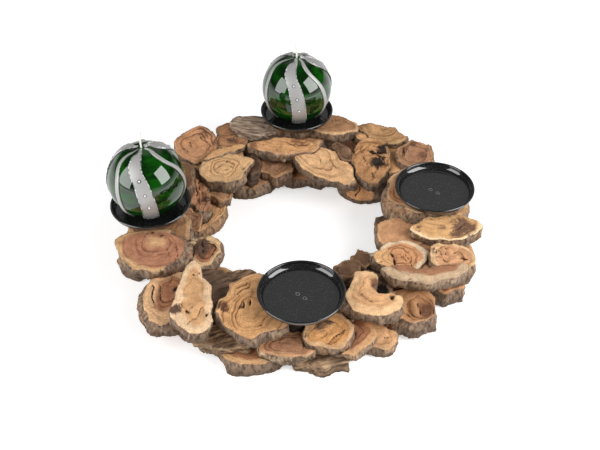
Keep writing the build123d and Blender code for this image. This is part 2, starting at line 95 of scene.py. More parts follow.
def seen_directly(tree):
    """One for what the camera sees, also mirrored or through something clear, zero for light on its way."""
    path = tree.nodes.new("ShaderNodeLightPath").outputs
    mirrored = number(tree, "MAXIMUM", path["Is Camera Ray"], path["Is Glossy Ray"])
    return number(tree, "MAXIMUM", mirrored, path["Is Transmission Ray"])


world = bpy.data.worlds.new("studio_room")
bpy.context.scene.world = world
world.use_nodes = True
room_tree = world.node_tree
room_shader = room_tree.nodes["Background"]
room_shader.inputs["Color"].default_value = (1, 1, 1, 1)
room_way = room_tree.nodes.new("ShaderNodeTexCoord").outputs["Generated"]
room_height = room_tree.nodes.new("ShaderNodeSeparateXYZ")
room_tree.links.new(room_way, room_height.inputs[0])
mirrored_walls = ramp(room_tree, room_height.outputs["Z"], -0.02, room_dark_from, room_white, room_dark)
toward_panel = room_tree.nodes.new("ShaderNodeVectorMath")
toward_panel.operation = "DOT_PRODUCT"
toward_panel.inputs[1].default_value = panel_way
room_tree.links.new(room_way, toward_panel.inputs[0])
mirrored_panel = ramp(room_tree, toward_panel.outputs["Value"], 0.82, 0.95, 0, panel_pale)
mirrored_room = number(room_tree, "MAXIMUM", mirrored_walls, mirrored_panel)
shown = seen_directly(room_tree)
lit = number(room_tree, "MULTIPLY", number(room_tree, "SUBTRACT", 1, shown), room_light)
room_strength = number(room_tree, "MULTIPLY_ADD", shown, mirrored_room, lit)
room_tree.links.new(room_strength, room_shader.inputs["Strength"])


def soft_box(name, direction, away, width, watts):
    """A lamp turned to the wreath, a little taller than wide, sized as the gloss of the candles shows it."""
    lamp = bpy.data.lights.new(name, "AREA")
    lamp.shape = "RECTANGLE"
    lamp.size = width
    lamp.size_y = width * soft_box_tall
    lamp.energy = watts
    box = bpy.data.objects.new(name, lamp)
    bpy.context.scene.collection.objects.link(box)
    toward = Vector(direction).normalized()
    box.location = view_target + toward * away
    box.rotation_euler = toward.to_track_quat("Z", "Y").to_euler()


soft_box("right_soft_box", (0.766, -0.341, 0.545), away=1.2, width=0.83, watts=15.5)
soft_box("left_soft_box", (-0.80, -0.412, 0.433), away=1.6, width=1.1, watts=19)


def new_finish(name, sockets):
    """A material with these sockets of its shader set."""
    material = bpy.data.materials.new(name)
    material.use_nodes = True
    shader = material.node_tree.nodes["Principled BSDF"]
    for socket, value in sockets.items():
        shader.inputs[socket].default_value = value
    return material


def drive(material, socket, source):
    """Let another node's output set a socket of a material's shader."""
    material.node_tree.links.new(source, material.node_tree.nodes["Principled BSDF"].inputs[socket])


def dress(piece, material):
    """Give a piece this material and no other."""
    piece.data.materials.clear()
    piece.data.materials.append(material)


bpy.ops.object.select_all(action="DESELECT")
bpy.ops.mesh.primitive_plane_add(size=table_size, location=(0, 0, -table_gap))
table_top = bpy.context.object
table_top.name = "white_table"
bpy.ops.object.transform_apply(location=True, rotation=False, scale=False)
table_white = new_finish("table_white", {
    "Base Color": (0.8, 0.8, 0.8, 1), "Roughness": 0.9, "Specular IOR Level": 0.0,
    "Emission Color": (1, 1, 1, 1)})
table_tree = table_white.node_tree
drive(table_white, "Emission Strength", number(table_tree, "MULTIPLY", seen_directly(table_tree), table_glow))
dress(table_top, table_white)

# Sawn slices: cross cuts of knotty branches with red-brown heartwood, cream sapwood and a thin grey bark,
# laid in layers and glued to one another. Each is its own cut, so heart, rings, cracks and marks differ.
# Places on a slice are in millimetres, as x and y of the whole wreath.
voxel_shown = 1.4 * MM
voxel_hidden = 2.6 * MM
merge_gap = 0.01 * MM
bark_stretch = 4
bark_depth = 2.2 * MM
crumb_depth = 0.9 * MM
saw_wave_depth = 3.2 * MM
saw_tooth_depth = 0.8 * MM
chip_depth = 2.6 * MM
crack_depth = 2.2 * MM
bend_depth = 11 * MM
knob_depth = 2 * MM
relief_depth = 0.5 * MM
late_wood_tint = (0.36, 0.27, 0.21, 1)
crack_colour = (44, 27, 19)
noise_shift = (0.5, 0.3, 0.2)
foot_height = 1.5
foot_fade = 3
edge_width = 5
seat_height = 60
seat_places = {"front": (5, -148), "right": (148, 10), "left": (-153, -15), "back": (0, 154)}
seat_reach = 47
seat_depth = 8
seat_hold = 0.2


def tint(red, green, blue):
    """A colour as read from a picture, 0 to 255, for a shader."""
    shares = [value / 255 for value in (red, green, blue)]
    return (*[s / 12.92 if s <= 0.04045 else ((s + 0.055) / 1.055) ** 2.4 for s in shares], 1)


def shade(colour, share):
    """A colour made darker, for a shader."""
    return tint(*[value * share for value in colour])


def select_only(pieces):
    """Select these pieces and make the first one active."""
    bpy.ops.object.select_all(action="DESELECT")
    for piece in pieces:
        piece.select_set(True)
    bpy.context.view_layer.objects.active = pieces[0]


def join_as(name, pieces):
    """Make pieces one under a name; the first of them stays."""
    select_only(pieces)
    if len(pieces) > 1:
        bpy.ops.object.join()
    pieces[0].name = name


def merged_solids(node):
    """The solids of a node as separate meshes with their corners merged, from left to right."""
    piece = bpy.data.objects.new(f"{node}_copy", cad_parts[node].data.copy())
    bpy.context.scene.collection.objects.link(piece)
    select_only([piece])
    bpy.ops.object.mode_set(mode="EDIT")
    bpy.ops.mesh.select_all(action="SELECT")
    bpy.ops.mesh.remove_doubles(threshold=merge_gap)
    bpy.ops.mesh.separate(type="LOOSE")
    bpy.ops.object.mode_set(mode="OBJECT")
    solids = list(bpy.context.selected_objects)
    return sorted(solids, key=lambda solid: sum(corner[0] for corner in solid.bound_box))


def sawn_axis(solid):
    """Direction square to the sawn faces, upwards: the way that most of the flat area looks."""
    count = len(solid.data.polygons)
    normals = np.empty(3 * count)
    areas = np.empty(count)
    solid.data.polygons.foreach_get("normal", normals)
    solid.data.polygons.foreach_get("area", areas)
    normals = normals.reshape(-1, 3)
    normals *= np.sign(normals[:, 2:] + 1e-9)
    level = normals[:, 2] > 0.9
    if not level.any():
        return np.array((0, 0, 1.0))
    ways, kind = np.unique(np.round(normals[level], 2), axis=0, return_inverse=True)
    best = ways[np.argmax(np.bincount(kind.ravel(), areas[level]))]
    return best / np.linalg.norm(best)


def apply_modifier(piece, kind, **settings):
    """Add a modifier with these settings to a piece and apply it."""
    step = piece.modifiers.new(kind.lower(), kind)
    for name, value in settings.items():
        setattr(step, name, value)
    bpy.context.view_layer.objects.active = piece
    bpy.ops.object.modifier_apply(modifier=step.name)


def displace(piece, depth, **settings):
    """Push a piece's surface out, or in where the depth is below zero."""
    apply_modifier(piece, "DISPLACE", strength=depth, **settings)


def paint_weights(piece, name, weights):
    """A vertex group of the piece, in steps of a tenth."""
    group = piece.vertex_groups.new(name=name)
    steps = np.round(np.clip(weights, 0, 1) * 10).astype(int)
    for step in range(1, 11):
        group.add(np.nonzero(steps == step)[0].tolist(), step / 10, "REPLACE")


def store(piece, name, values):
    """A number for each corner of the mesh, for the wood's material to read."""
    layer = piece.data.attributes.new(name, "FLOAT", "POINT")
    layer.data.foreach_set("value", np.ascontiguousarray(values, dtype=np.float32))


def cloud(name, size, depth, hard=False):
    """Lumps of about a size in millimetres, for a Displace modifier."""
    texture = bpy.data.textures.new(name, "CLOUDS")
    texture.noise_scale = size * MM
    texture.noise_depth = depth
    texture.noise_type = "HARD_NOISE" if hard else "SOFT_NOISE"
    return texture


bark_plates = cloud("bark_plates", 5, 2, hard=True)
bark_crumbs = cloud("bark_crumbs", 1.6, 1)
branch_bends = cloud("branch_bends", 23, 1)
branch_knobs = cloud("branch_knobs", 8, 1)
saw_waves = cloud("saw_waves", 14, 1)
saw_teeth = cloud("saw_teeth", 2.4, 2)
edge_chips = cloud("edge_chips", 7, 2)
bark_run = bpy.data.objects.new("bark_run", None)
bpy.context.scene.collection.objects.link(bark_run)
crosswise = bpy.data.objects.new("crosswise", None)
bpy.context.scene.collection.objects.link(crosswise)
crosswise.location = noise_shift


def corners_of(solid):
    """Places, in millimetres, and normals of a mesh's corners."""
    count = len(solid.data.vertices)
    places = np.empty(3 * count)
    normals = np.empty(3 * count)
    solid.data.vertices.foreach_get("co", places)
    solid.data.vertices.foreach_get("normal", normals)
    return places.reshape(-1, 3) / MM, normals.reshape(-1, 3)


def rim_distance(turn, radius, reach):
    """How far the rim lies from the pith on each corner's side, and the mean over all sides."""
    sectors = 72
    sector_of = ((turn + math.pi) / (2 * math.pi) * sectors).astype(int) % sectors
    rim = np.zeros(sectors)
    np.maximum.at(rim, sector_of, radius)
    filled = np.nonzero(rim)[0]
    rim = np.interp(np.arange(sectors), filled, rim[filled], period=sectors)
    rim = np.maximum((np.roll(rim, 1) + 2 * rim + np.roll(rim, -1)) / 4, reach)
    sector_turns = (np.arange(sectors) + 0.5) / sectors * 2 * math.pi - math.pi
    return np.interp(turn, sector_turns, rim, period=2 * math.pi), rim.mean()


def from_spot(places, x, y, size):
    """Distance of corners from an upright spot, as a share of its size."""
    return np.hypot(places[:, 0] - x, places[:, 1] - y) / size


def from_line(places, x0, y0, x1, y1):
    """Distance of corners from a short upright line, and how far along it they are as a share."""
    start = np.array((x0, y0))
    run = np.array((x1, y1)) - start
    along = np.clip((places[:, :2] - start) @ run / (run @ run), 0, 1)
    return np.linalg.norm(places[:, :2] - start - along[:, None] * run, axis=1), along


def fallen_edge(turn, to_rim, first, last, width):
    """Share by which the rim has broken down between two directions in degrees, over a width."""
    half = math.radians(last - first) / 2
    away = np.abs((turn - math.radians(first) - half + math.pi) % (2 * math.pi) - math.pi)
    return np.clip(1 - to_rim / width, 0, 1) * np.clip((half - away) * 3, 0, 1)


def roughen(solid, rough, bark, lying):
    """Work bark, saw marks, chips, cracks and the branch's bends into a slice, by its painted weights."""
    bark_run.scale = (1, 1, bark_stretch) if lying is None else (bark_stretch, 1, 1)
    bark_run.rotation_euler = (0, 0, math.radians(lying or 0))
    bpy.context.view_layer.update()
    run = {"texture_coords": "OBJECT", "texture_coords_object": bark_run, "vertex_group": "bark"}
    displace(solid, -bark_depth * bark, texture=bark_plates, mid_level=0.35, **run)
    displace(solid, crumb_depth * bark, texture=bark_crumbs, **run)
    displace(solid, saw_wave_depth * rough, texture=saw_waves, vertex_group="sawn")
    displace(solid, saw_tooth_depth * rough, texture=saw_teeth, vertex_group="sawn")
    displace(solid, -chip_depth, texture=edge_chips, mid_level=0.42, vertex_group="edge")
    displace(solid, -crack_depth, mid_level=0, vertex_group="split")
    other = {"texture_coords": "OBJECT", "texture_coords_object": crosswise}
    displace(solid, bend_depth, texture=branch_bends, direction="X")
    displace(solid, bend_depth, texture=branch_bends, direction="Y", **other)
    displace(solid, knob_depth, texture=branch_knobs, direction="X")
    displace(solid, knob_depth, texture=branch_knobs, direction="Y", **other)


def grain(solid, voxel, pith=None, reach=0, cracks=(), marks=(), bare=None, shoulder=None, swell=None,
          rough=1.0, bark_all=False, bark=1.0, lying=None):
    """Give a slice fine corners, bark on its wall and cracks, and note where its rings and marks run."""
    axis = sawn_axis(solid)
    apply_modifier(solid, "REMESH", mode="VOXEL", voxel_size=voxel, use_smooth_shade=True)
    places, normals = corners_of(solid)
    wall = np.clip((0.8 - np.abs(normals @ axis)) / 0.3, 0, 1)
    if bark_all:
        wall[:] = 1
    middle = (places.min(axis=0) + places.max(axis=0)) / 2
    if pith is not None:
        middle[:2] = pith
    spread = places - middle
    spread -= np.outer(spread @ axis, axis)
    radius = np.hypot(spread[:, 0], spread[:, 1])
    turn = np.arctan2(spread[:, 1], spread[:, 0])
    rim, mean_rim = rim_distance(turn, radius, reach)
    height = places @ axis
    height = (height - height.min()) / (height.max() - height.min())
    if shoulder:
        first, last, width, drop = shoulder
        fallen = fallen_edge(turn, rim - radius, first, last, width)
        wall = np.maximum(wall, np.clip(fallen * 4, 0, 1))
        paint_weights(solid, "fallen", fallen * height)
    sap = np.maximum(rim - radius, 0)
    if bare:
        stripped = np.clip(2 - 1.6 * from_spot(places, *bare), 0, 1) * np.clip(5 * (height - 0.2), 0, 1)
        wall *= 1 - stripped
        sap += 4 * stripped
    mark = np.zeros(len(places))
    for x, y, size, depth in marks:
        mark = np.maximum(mark, depth * np.clip(1.6 - 1.2 * from_spot(places, x, y, size), 0, 1))
    split = np.zeros(len(places))
    for x0, y0, x1, y1, width in cracks:
        away, along = from_line(places, x0, y0, x1, y1)
        thin = width * (0.35 + 0.65 * np.sin(math.pi * np.clip(along, 0.05, 0.95)))
        split = np.maximum(split, np.clip(1.5 - away / thin, 0, 1))
    store(solid, "ring_mm", radius / rim * mean_rim)
    store(solid, "pith_mm", radius)
    store(solid, "sap_mm", sap)
    store(solid, "wall", wall)
    store(solid, "low", 1 - height)
    store(solid, "mark", mark)
    store(solid, "split", split)
    clear = np.clip((places[:, 2] - foot_height) / foot_fade, 0, 1)
    loose = clear.copy()
    for x, y in seat_places.values():
        under_plate = from_spot(places, x, y, seat_reach) < 1
        loose[under_plate & (places[:, 2] > seat_height - seat_depth)] *= seat_hold
    if shoulder:
        displace(solid, -drop * MM, direction="Z", mid_level=0, vertex_group="fallen")
    if swell:
        x, y, size, direction, way = swell
        near = np.clip(1.6 - from_spot(places, x, y, size), 0, 1)
        paint_weights(solid, "swollen", near * np.clip(3 * (0.85 - height), 0, 1))
        displace(solid, way * MM, direction=direction, mid_level=0, vertex_group="swollen")
    paint_weights(solid, "bark", wall * clear)
    paint_weights(solid, "sawn", (1 - wall) * loose)
    paint_weights(solid, "split", split * (1 - wall) * clear)
    paint_weights(solid, "edge", np.clip(1 - (rim - radius) / edge_width, 0, 1) * (1 - wall) * loose)
    roughen(solid, rough, bark, lying)


def blend_colours(tree, share, first, second, kind="MIX"):
    """Mix two colours, which may be outputs of other nodes, by a share."""
    step = tree.nodes.new("ShaderNodeMix")
    step.data_type = "RGBA"
    step.blend_type = kind
    for socket, value in ((step.inputs[0], share), (step.inputs[6], first), (step.inputs[7], second)):
        if isinstance(value, (int, float, tuple)):
            socket.default_value = value
        else:
            tree.links.new(value, socket)
    return step.outputs[2]


def read(tree, name):
    """A number that grain() stored for each corner."""
    step = tree.nodes.new("ShaderNodeAttribute")
    step.attribute_name = name
    return step.outputs["Fac"]


def speckle(tree, scale, detail=2.0, stretch=None, turn=0):
    """Noise in the object's own space, scale in dots to the metre, drawn out along turned axes."""
    place = tree.nodes.new("ShaderNodeTexCoord").outputs["Object"]
    if stretch:
        shape = tree.nodes.new("ShaderNodeMapping")
        shape.vector_type = "TEXTURE"
        shape.inputs["Rotation"].default_value = (0, 0, math.radians(turn))
        shape.inputs["Scale"].default_value = stretch
        tree.links.new(place, shape.inputs["Vector"])
        place = shape.outputs["Vector"]
    step = tree.nodes.new("ShaderNodeTexNoise")
    step.inputs["Scale"].default_value = scale
    step.inputs["Detail"].default_value = detail
    tree.links.new(place, step.inputs["Vector"])
    return step.outputs["Fac"]


def year_line(tree, ring_mm, spacing):
    """Dark late wood at the end of each year's growth, stronger in some years and on some sides."""
    year = number(tree, "DIVIDE", ring_mm, spacing)
    weather = tree.nodes.new("ShaderNodeTexWhiteNoise")
    weather.noise_dimensions = "1D"
    tree.links.new(number(tree, "FLOOR", year), weather.inputs["W"])
    season = number(tree, "FRACT", year)
    line = number(tree, "MULTIPLY", ramp(tree, season, 0.3, 0.9), ramp(tree, season, 1.0, 0.93))
    line = number(tree, "MULTIPLY", line, ramp(tree, weather.outputs["Value"], 0.15, 1.0, 0.1, 1.0))
    return number(tree, "MULTIPLY", line, ramp(tree, speckle(tree, 45, 2), 0.35, 0.6, 0.35, 1.0))


def bark_skin(tree, furrows, crumbs, heart, bark, bark_pale):
    """Colour of the wall: furrowed bark with pale lichen, worn to the wood in patches, with painted shade at
    its foot.
    """
    patches = speckle(tree, 60, 3)
    skin = blend_colours(tree, ramp(tree, furrows, 0.34, 0.54), shade(bark, 0.6), tint(*bark))
    lichen = number(tree, "MULTIPLY", ramp(tree, furrows, 0.48, 0.66), ramp(tree, patches, 0.4, 0.6))
    skin = blend_colours(tree, lichen, skin, tint(*bark_pale))
    skin = blend_colours(tree, ramp(tree, patches, 0.52, 0.7, 0, 0.5), skin, shade(heart, 0.84))
    skin = blend_colours(tree, ramp(tree, crumbs, 0.57, 0.75, 0, 0.6), skin, shade(bark, 0.5))
    # Painted shade: the bark darkens towards the foot of each slice, where the gaps between the slices lie in
    # shade.
    painted_foot_shade = ramp(tree, read(tree, "low"), 0.3, 0.95, 0, 0.6)
    return blend_colours(tree, painted_foot_shade, skin, shade(bark, 0.5))


def wood(name, heart, sap, pith=None, pith_size=8, sap_band=7, sap_fade=1.8, ring=2.4, ring_depth=0.6,
         mark=(52, 36, 28), bark=(141, 116, 95), bark_pale=(178, 156, 132), lying=None):
    """Cross-cut wood with bark: rings, sapwood and pith follow the numbers that grain() stored."""
    material = new_finish(name, {"Roughness": 0.6, "Specular IOR Level": 0.2})
    tree = material.node_tree
    drift = number(tree, "SUBTRACT", speckle(tree, 70, 3), 0.5)
    fray = number(tree, "SUBTRACT", speckle(tree, 330, 3), 0.5)

    def drifting(stored, drift_mm, fray_mm):
        """A stored number with the two wanderings of the grain laid over it."""
        value = number(tree, "MULTIPLY_ADD", drift, drift_mm, read(tree, stored))
        return number(tree, "MULTIPLY_ADD", fray, fray_mm, value)

    sap_mm = drifting("sap_mm", 5, 2)
    in_sap = ramp(tree, sap_mm, sap_band + sap_fade, sap_band - sap_fade)
    face = blend_colours(tree, in_sap, tint(*heart), tint(*sap))
    if pith:
        pith_mm = drifting("pith_mm", 12, 4)
        face = blend_colours(tree, ramp(tree, pith_mm, pith_size * 1.5, pith_size * 0.4), face, tint(*pith))
    ring_mm = drifting("ring_mm", 7, 1.2)
    late_wood = 0
    for spacing, depth in ((ring * 1.8, ring_depth), (ring * 0.75, ring_depth * 0.6)):
        line = year_line(tree, ring_mm, spacing)
        dark = number(tree, "MULTIPLY", line, ramp(tree, in_sap, 0, 1, depth, depth * 0.5))
        shaded = blend_colours(tree, 1.0, face, late_wood_tint, "MULTIPLY")
        face = blend_colours(tree, dark, face, shaded)
        late_wood = number(tree, "ADD", line, late_wood)
    stain = ramp(tree, speckle(tree, 38, 4), 0.56, 0.74, 0, 0.28)
    face = blend_colours(tree, stain, face, shade(heart, 0.74))
    scorch = number(tree, "MULTIPLY_ADD", late_wood, 0.35, drifting("mark", 1.2, 1.1))
    scorch = number(tree, "MULTIPLY", ramp(tree, scorch, 0.3, 1.0), ramp(tree, read(tree, "mark"), 0, 0.35))
    worn = blend_colours(tree, number(tree, "MULTIPLY", late_wood, 0.4), tint(*mark), shade(mark, 0.6))
    face = blend_colours(tree, scorch, face, worn)
    pores = ramp(tree, speckle(tree, 950, 2), 0.3, 0.7, 0.82, 1.16)
    tone = ramp(tree, speckle(tree, 150, 3), 0.25, 0.75, 0.92, 1.24)
    face = blend_colours(tree, 1.0, face, number(tree, "MULTIPLY", pores, tone), "MULTIPLY")
    flecks = ramp(tree, speckle(tree, 520, 1), 0.71, 0.76, 0, 0.65)
    face = blend_colours(tree, flecks, face, shade(heart, 0.5))
    rim = ramp(tree, number(tree, "MULTIPLY_ADD", fray, 2, sap_mm), 1.4, 0.1, 0, 0.5)
    face = blend_colours(tree, rim, face, shade(bark, 0.66))
    split = number(tree, "MULTIPLY_ADD", fray, 0.7, read(tree, "split"))
    face = blend_colours(tree, ramp(tree, split, 0.3, 0.8), face, tint(*crack_colour))
    along_bark = ((1, 1, 2.5), 0) if lying is None else ((6, 1, 1), lying)
    furrows = speckle(tree, 330, 4, *along_bark)
    crumbs = speckle(tree, 1200, 2)
    skin = bark_skin(tree, furrows, crumbs, heart, bark, bark_pale)
    drive(material, "Base Color", blend_colours(tree, ramp(tree, read(tree, "wall"), 0.35, 0.65), face, skin))
    relief = tree.nodes.new("ShaderNodeBump")
    relief.inputs["Strength"].default_value = 0.6
    relief.inputs["Distance"].default_value = relief_depth
    cut_relief = number(tree, "MULTIPLY", number(tree, "SUBTRACT", pores, late_wood), 0.4)
    wall_relief = number(tree, "ADD", furrows, crumbs)
    height = number(tree, "MULTIPLY_ADD", wall_relief, read(tree, "wall"), cut_relief)
    tree.links.new(height, relief.inputs["Height"])
    drive(material, "Normal", relief.outputs["Normal"])
    return material


def cut(wood_of_slice, **how):
    """One slice's wood and how grain() works it."""
    return wood_of_slice, how


def wood_piece(node, slot, *cuts, voxel=voxel_shown):
    """Grain and colour every solid of a node, from left to right, and put them in the node's place."""
    solids = merged_solids(node)
    others_alike = [cuts[-1]] * (len(solids) - len(cuts))
    for solid, (wood_of_slice, how) in zip(solids, (*cuts, *others_alike)):
        grain(solid, voxel, **how)
        dress(solid, wood_of_slice)
    join_as(f"{node}_grained", solids)
    bpy.ops.object.shade_smooth()
    piece = solids[0]
    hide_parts(node)
    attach(piece, "wreath")


def sawn_slice(node, wood_of_slice, **how):
    """A node that is one sawn slice, or several alike."""
    wood_piece(node, "sawn_wood", cut(wood_of_slice, **how))


# Large slices on the left: the red-hearted round with a pale pith, the scorched ring beside it,
# the big orange round at the front and the pale wedge and the wide slice that lie on it.
left_round_wood = wood(
    "left_round_wood", (174, 122, 94), (205, 165, 121), pith=(210, 168, 122), pith_size=9, sap_band=6,
    ring=2.6, ring_depth=0.7)
sawn_slice(
    "left_round_slice", left_round_wood, pith=(-145, -61),
    marks=(
        (-158, -53, 1.6, 0.9), (-153, -49, 2, 0.8), (-146, -48, 1.6, 0.9), (-139, -53, 1.8, 0.8),
        (-162, -62, 1.2, 0.7)),
    cracks=(
        (-124, -66, -120, -77, 0.6), (-120, -77, -123, -86, 0.6), (-132, -70, -129, -78, 0.4),
        (-129, -78, -133, -84, 0.4), (-136, -94, -136, -104, 0.7)),
    shoulder=(-75, 50, 9, 7))
left_inner_ring_wood = wood(
    "left_inner_ring_wood", (156, 104, 76), (212, 176, 132), sap_band=9, ring=1.9, ring_depth=1.0,
    mark=(94, 72, 58))
sawn_slice(
    "left_inner_ring_slice", left_inner_ring_wood, pith=(-93, -62),
    marks=((-99, -53, 9, 1), (-100, -62, 11, 1), (-88, -56, 6, 0.7), (-96, -70, 6, 0.7)),
    cracks=(
        (-100, -49, -95, -60, 0.9), (-95, -60, -97, -70, 0.8), (-88, -51, -84, -59, 0.8),
        (-84, -59, -87, -70, 0.7)),
    shoulder=(-100, 40, 6, 5))
front_left_round_wood = wood(
    "front_left_round_wood", (174, 121, 88), (232, 187, 142), sap_band=18, sap_fade=6, ring=2.2,
    ring_depth=0.8)
sawn_slice(
    "front_left_round_slice", front_left_round_wood, pith=(-125, -115), reach=33,
    marks=((-122, -117, 3, 1), (-117, -124, 3, 0.7)),
    cracks=(
        (-137, -106, -138, -118, 0.5), (-138, -118, -132, -129, 0.5), (-145, -108, -145, -122, 0.5),
        (-145, -122, -137, -138, 0.5), (-125, -100, -130, -112, 0.6)),
    shoulder=(130, 250, 8, 6))
wedge_wood = wood(
    "wedge_wood", (204, 159, 114), (224, 190, 153), pith=(193, 147, 105), pith_size=7, sap_band=10,
    sap_fade=3, ring=3, ring_depth=0.4, mark=(104, 80, 66))
sawn_slice(
    "front_left_wedge_slice", wedge_wood, pith=(-97, -147),
    marks=((-114, -161.6, 6, 1), (-103, -164, 2.2, 0.7), (-101, -158, 2, 0.6), (-83, -168, 2, 0.7)),
    cracks=(
        (-104, -179, -96, -170, 0.5), (-95, -169, -87, -158, 0.6), (-84, -169, -80, -164, 0.8),
        (-102, -114, -98, -116, 0.7), (-96, -113, -92, -116, 0.7), (-105, -160, -103, -167, 0.5)))
wide_wood = wood(
    "wide_wood", (206, 156, 107), (216, 170, 122), sap_band=5, ring=3, ring_depth=1.0, mark=(98, 64, 46))
sawn_slice(
    "front_left_wide_slice", wide_wood, pith=(-42, -165), reach=36,
    marks=((-69.6, -157, 7, 0.9), (-52, -157, 2.5, 0.7), (-62, -163, 2, 0.6), (-34, -178, 2, 0.6)),
    cracks=(
        (-60, -141, -44, -127, 1.0), (-57, -131, -48, -123, 0.8), (-50, -158, -49, -150, 1.0),
        (-45, -157, -42, -148, 0.9), (-62, -150, -56, -143, 0.8), (-52, -134, -43, -120, 0.6),
        (-39, -168, -31, -161, 0.4)))

# Slices at the front and right: the hooked cut with its notch, the crescent with furrowed bark in front of
# the ringed round, the cracked outer round, the spotted slab and the slice that carries the right plate.
hook_wood = wood(
    "hook_wood", (216, 168, 122), (226, 184, 139), pith=(112, 74, 52), pith_size=6, sap_band=9,
    sap_fade=3, ring=2.6, ring_depth=0.5)
sawn_slice(
    "front_right_hook_slice", hook_wood, pith=(77, -126),
    marks=((92, -143, 3, 0.9), (96, -137, 2.6, 0.8), (75, -130, 4, 0.5)),
    cracks=((64, -136, 68, -144, 0.4), (68, -144, 76, -152, 0.4), (89, -141, 93, -146, 0.8)),
    swell=(47, -143, 9, "X", -9))
crescent_wood = wood(
    "crescent_wood", (160, 114, 85), (190, 162, 131), sap_band=10, ring=2, ring_depth=0.5,
    bark=(162, 135, 110), bark_pale=(188, 167, 144))
sawn_slice(
    "right_crescent_slice", crescent_wood, pith=(130, -52), reach=10,
    marks=((112, -118, 1.4, 0.8), (139, -122, 1.4, 0.8)))
ring_wood = wood("ring_wood", (203, 148, 106), (220, 194, 162), ring_depth=0.95, mark=(214, 166, 116))
sawn_slice(
    "right_ring_slice", ring_wood, pith=(102, -80), marks=((84, -74, 11, 1), (88, -88, 9, 1)),
    cracks=(
        (113, -71, 117, -84, 0.7), (117, -84, 116, -94, 0.7), (109, -76, 112, -86, 0.6),
        (105, -74, 109, -85, 0.5), (94, -73, 98, -79, 1.2), (98, -79, 98, -90, 1.5),
        (82, -86, 87, -80, 0.5)))
outer_wood = wood("outer_wood", (205, 155, 115), (219, 181, 138), ring=2.6, ring_depth=0.8)
sawn_slice(
    "right_outer_slice", outer_wood, pith=(150, -76),
    marks=((163, -70, 1.5, 1), (142, -72, 4, 0.5)),
    cracks=(
        (142, -78, 151, -80, 0.7), (145, -69, 150, -76, 0.5), (151, -80, 157, -86, 0.6),
        (167, -77, 174, -80, 0.8), (155, -63, 153, -74, 0.4)),
    rough=2)
slab_wood = wood(
    "slab_wood", (206, 161, 112), (227, 197, 157), sap_band=4, ring=3, ring_depth=0.45,
    mark=(116, 86, 68))
sawn_slice(
    "right_slab_slice", slab_wood, pith=(140, -20),
    marks=(
        (128, -38, 3, 0.9), (129, -44, 2.4, 0.9), (158, -24, 4, 0.8), (152, -40, 4.5, 0.7),
        (174, -38, 14, 1), (164, -48, 7, 0.8)),
    cracks=((136, -30, 150, -27, 0.4), (160, -44, 176, -34, 0.6)))
face_wood = wood("face_wood", (190, 142, 104), (198, 152, 112), sap_band=4, ring=3, ring_depth=0.14)
sawn_slice("right_back_face_slice", face_wood, reach=26, rough=0.5)
seat_round_wood = wood(
    "seat_round_wood", (206, 150, 107), (224, 184, 138), sap_band=6, ring_depth=0.8, bark=(150, 124, 100),
    bark_pale=(190, 160, 128))
sawn_slice(
    "right_round_slice", seat_round_wood, pith=(138, 10),
    shoulder=(150, 230, 6, 5), swell=(103, -4, 15, "Z", -10))

# Slices at the back: knotty, splintered cuts, one of them charred across, and a weathered block of bark
# that leans on the others; the pale round with fine rings stands nearest.
pale_round_wood = wood(
    "pale_round_wood", (216, 173, 126), (212, 172, 128), sap_band=4, ring=2.2, ring_depth=0.8)
sawn_slice(
    "back_left_round_slice", pale_round_wood, pith=(-82, 71),
    marks=((-60, 70, 3, 0.6), (-78, 66, 1.5, 0.9), (-86, 62, 1.2, 0.8)),
    cracks=((-92, 66, -86, 72, 0.6), (-76, 74, -70, 69, 0.6), (-84, 80, -78, 78, 0.5)))
tall_wood = wood(
    "tall_wood", (188, 139, 101), (190, 142, 104), sap_band=4, ring=3, ring_depth=0.8, mark=(120, 84, 60))
sawn_slice(
    "back_left_tall_slice", tall_wood, pith=(-120, 108),
    marks=((-104, 130, 10, 0.7), (-92, 116, 7, 0.7)),
    cracks=((-112, 124, -98, 112, 0.7), (-126, 116, -119, 106, 0.5), (-132, 106, -124, 98, 0.6)),
    rough=2)
mid_wood = wood("mid_wood", (204, 155, 108), (198, 154, 114), sap_band=4, ring=3, mark=(138, 94, 68))
sawn_slice(
    "back_mid_slice", mid_wood, pith=(0, 140),
    marks=((4, 112, 9, 0.9), (-50, 104, 10, 0.8), (-24, 100, 3, 0.6)),
    cracks=((-40, 108, -20, 104, 0.6), (-12, 112, 0, 104, 0.6)),
    rough=2)
large_wood = wood(
    "large_wood", (222, 177, 131), (220, 180, 136), sap_band=4, ring=3.2, ring_depth=0.7,
    mark=(90, 70, 56))
sawn_slice(
    "back_large_slice", large_wood, pith=(2, 108), marks=((56, 92, 7, 0.8),),
    cracks=((38, 87, 48, 72, 0.6), (24, 92, 30, 80, 0.4)))
charred_wood = wood(
    "charred_wood", (190, 142, 98), (194, 148, 104), sap_band=4, ring=2.6, ring_depth=0.7,
    mark=(52, 40, 33))
sawn_slice(
    "back_right_slice", charred_wood, pith=(70, 60),
    marks=(
        (92, 77, 10, 1), (100, 90, 6, 0.9), (98, 100, 8, 0.9), (88, 98, 5, 0.8), (106, 108, 5, 0.9),
        (74, 108, 3, 0.6)),
    cracks=(
        (82, 88, 106, 84, 0.9), (84, 94, 108, 91, 0.9), (86, 101, 108, 98, 0.9), (88, 107, 106, 105, 0.8),
        (72, 92, 80, 76, 0.6), (70, 108, 78, 98, 0.5), (86, 64, 92, 56, 0.6)),
    rough=3)
pink_wood = wood(
    "pink_wood", (163, 121, 92), (178, 135, 102), sap_band=4, ring=2.6, ring_depth=0.7,
    mark=(104, 74, 56))
sawn_slice(
    "right_back_slice", pink_wood,
    marks=((124, 94, 6, 0.8), (142, 86, 5, 0.8), (134, 104, 4, 0.6)),
    cracks=((120, 100, 126, 86, 0.7), (138, 98, 146, 90, 0.6)),
    rough=2.5)
